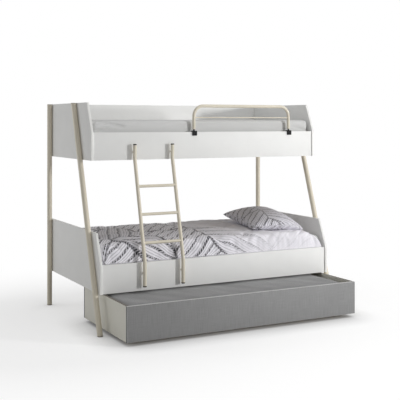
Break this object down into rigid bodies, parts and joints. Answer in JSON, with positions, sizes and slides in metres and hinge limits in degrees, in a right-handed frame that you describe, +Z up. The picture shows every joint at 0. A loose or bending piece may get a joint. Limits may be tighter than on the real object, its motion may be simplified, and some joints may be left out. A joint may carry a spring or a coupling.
{
  "type": "bunk bed with trundle",
  "caption": "Bunk bed with a narrower upper bunk, leaning front posts, cranked ladder, guard rail, bedding and a trundle on castors.",
  "frame": {"origin": "middle of the footprint on the floor, with the trundle partly pulled out", "axes": "+X along the bed to the right as seen from the front, -Y to the front where the ladder stands, +Z up"},
  "size_m": [2.0606, 1.545, 1.66],
  "materials": {
    "white_board": "matt white melamine board",
    "plain_wood": "plain pale softwood and plywood",
    "cream_steel": "cream powder coat on steel tube",
    "grey_plastic": "grey-beige moulded plastic",
    "black_plastic": "black moulded plastic",
    "white_cloth": "plain white fitted sheet",
    "printed_cloth": null,
    "grey_board": "dark grey board with a fine linen texture",
    "beige_board": "warm light grey board",
    "grey_cloth": "dark grey plain mattress cover",
    "zinc_steel": "zinc-plated sheet steel"
  },
  "bodies": {
    "bed": {"upper_left_end_panel": "white_board", "upper_right_end_panel": "white_board", "upper_front_rail": "white_board", "lower_left_end_panel": "white_board", "lower_right_end_panel": "white_board", "lower_front_rail": "white_board", "upper_back_panel": "white_board", "lower_back_rail": "white_board", "upper_front_ledge": "plain_wood", "upper_back_ledge": "plain_wood", "upper_slat_mat": "plain_wood", "lower_front_ledge": "plain_wood", "lower_back_ledge": "plain_wood", "lower_slat_mat": "plain_wood", "lower_centre_beam": "plain_wood", "front_left_post": "cream_steel", "front_right_post": "cream_steel", "rear_left_post": "cream_steel", "rear_right_post": "cream_steel", "ladder_frame": "cream_steel", "guard_frame": "cream_steel", "ladder_left_upper_spacer": "cream_steel", "ladder_left_lower_spacer": "cream_steel", "ladder_right_upper_spacer": "cream_steel", "ladder_right_lower_spacer": "cream_steel", "front_left_post_cap": "grey_plastic", "front_left_post_foot": "grey_plastic", "front_right_post_cap": "grey_plastic", "front_right_post_foot": "grey_plastic", "rear_left_post_cap": "grey_plastic", "rear_left_post_foot": "grey_plastic", "rear_right_post_cap": "grey_plastic", "rear_right_post_foot": "grey_plastic", "ladder_left_top_cap": "black_plastic", "ladder_left_bottom_cap": "black_plastic", "ladder_right_top_cap": "black_plastic", "ladder_right_bottom_cap": "black_plastic", "guard_left_clamp": "black_plastic", "guard_right_clamp": "black_plastic", "upper_mattress": "white_cloth", "lower_mattress": "white_cloth", "coverlet": "printed_cloth", "pillow": "printed_cloth"},
    "trundle": {"trundle_front": "grey_board", "trundle_back": "grey_board", "trundle_left_side": "beige_board", "trundle_right_side": "beige_board", "trundle_base": "plain_wood", "trundle_mattress": "grey_cloth", "castor_front_left_fork": "zinc_steel", "castor_front_right_fork": "zinc_steel", "castor_rear_left_fork": "zinc_steel", "castor_rear_right_fork": "zinc_steel"},
    "front_left_wheel": {"castor_front_left_wheel": "black_plastic"},
    "front_right_wheel": {"castor_front_right_wheel": "black_plastic"},
    "rear_left_wheel": {"castor_rear_left_wheel": "black_plastic"},
    "rear_right_wheel": {"castor_rear_right_wheel": "black_plastic"}
  },
  "joints": [
    {"name": "trundle_slide", "type": "slide", "parent": "bed", "child": "trundle", "axis": [0, -1, 0], "range_m": [-0.41, 0.45]},
    {"name": "front_left_wheel_roll", "type": "hinge", "parent": "trundle", "child": "front_left_wheel", "pos_m": [-0.805, -0.6225, 0.025], "axis": [1, 0, 0], "range_deg": [-945, 1036]},
    {"name": "front_right_wheel_roll", "type": "hinge", "parent": "trundle", "child": "front_right_wheel", "pos_m": [0.805, -0.6225, 0.025], "axis": [1, 0, 0], "range_deg": [-945, 1036]},
    {"name": "rear_left_wheel_roll", "type": "hinge", "parent": "trundle", "child": "rear_left_wheel", "pos_m": [-0.805, -0.0775, 0.025], "axis": [1, 0, 0], "range_deg": [-945, 1036]},
    {"name": "rear_right_wheel_roll", "type": "hinge", "parent": "trundle", "child": "rear_right_wheel", "pos_m": [0.805, -0.0775, 0.025], "axis": [1, 0, 0], "range_deg": [-945, 1036]}
  ],
  "couplings": [
    {"joint": "front_left_wheel_roll", "follows": "trundle_slide", "rad_per_m": 40},
    {"joint": "front_right_wheel_roll", "follows": "trundle_slide", "rad_per_m": 40},
    {"joint": "rear_left_wheel_roll", "follows": "trundle_slide", "rad_per_m": 40},
    {"joint": "rear_right_wheel_roll", "follows": "trundle_slide", "rad_per_m": 40}
  ]
}
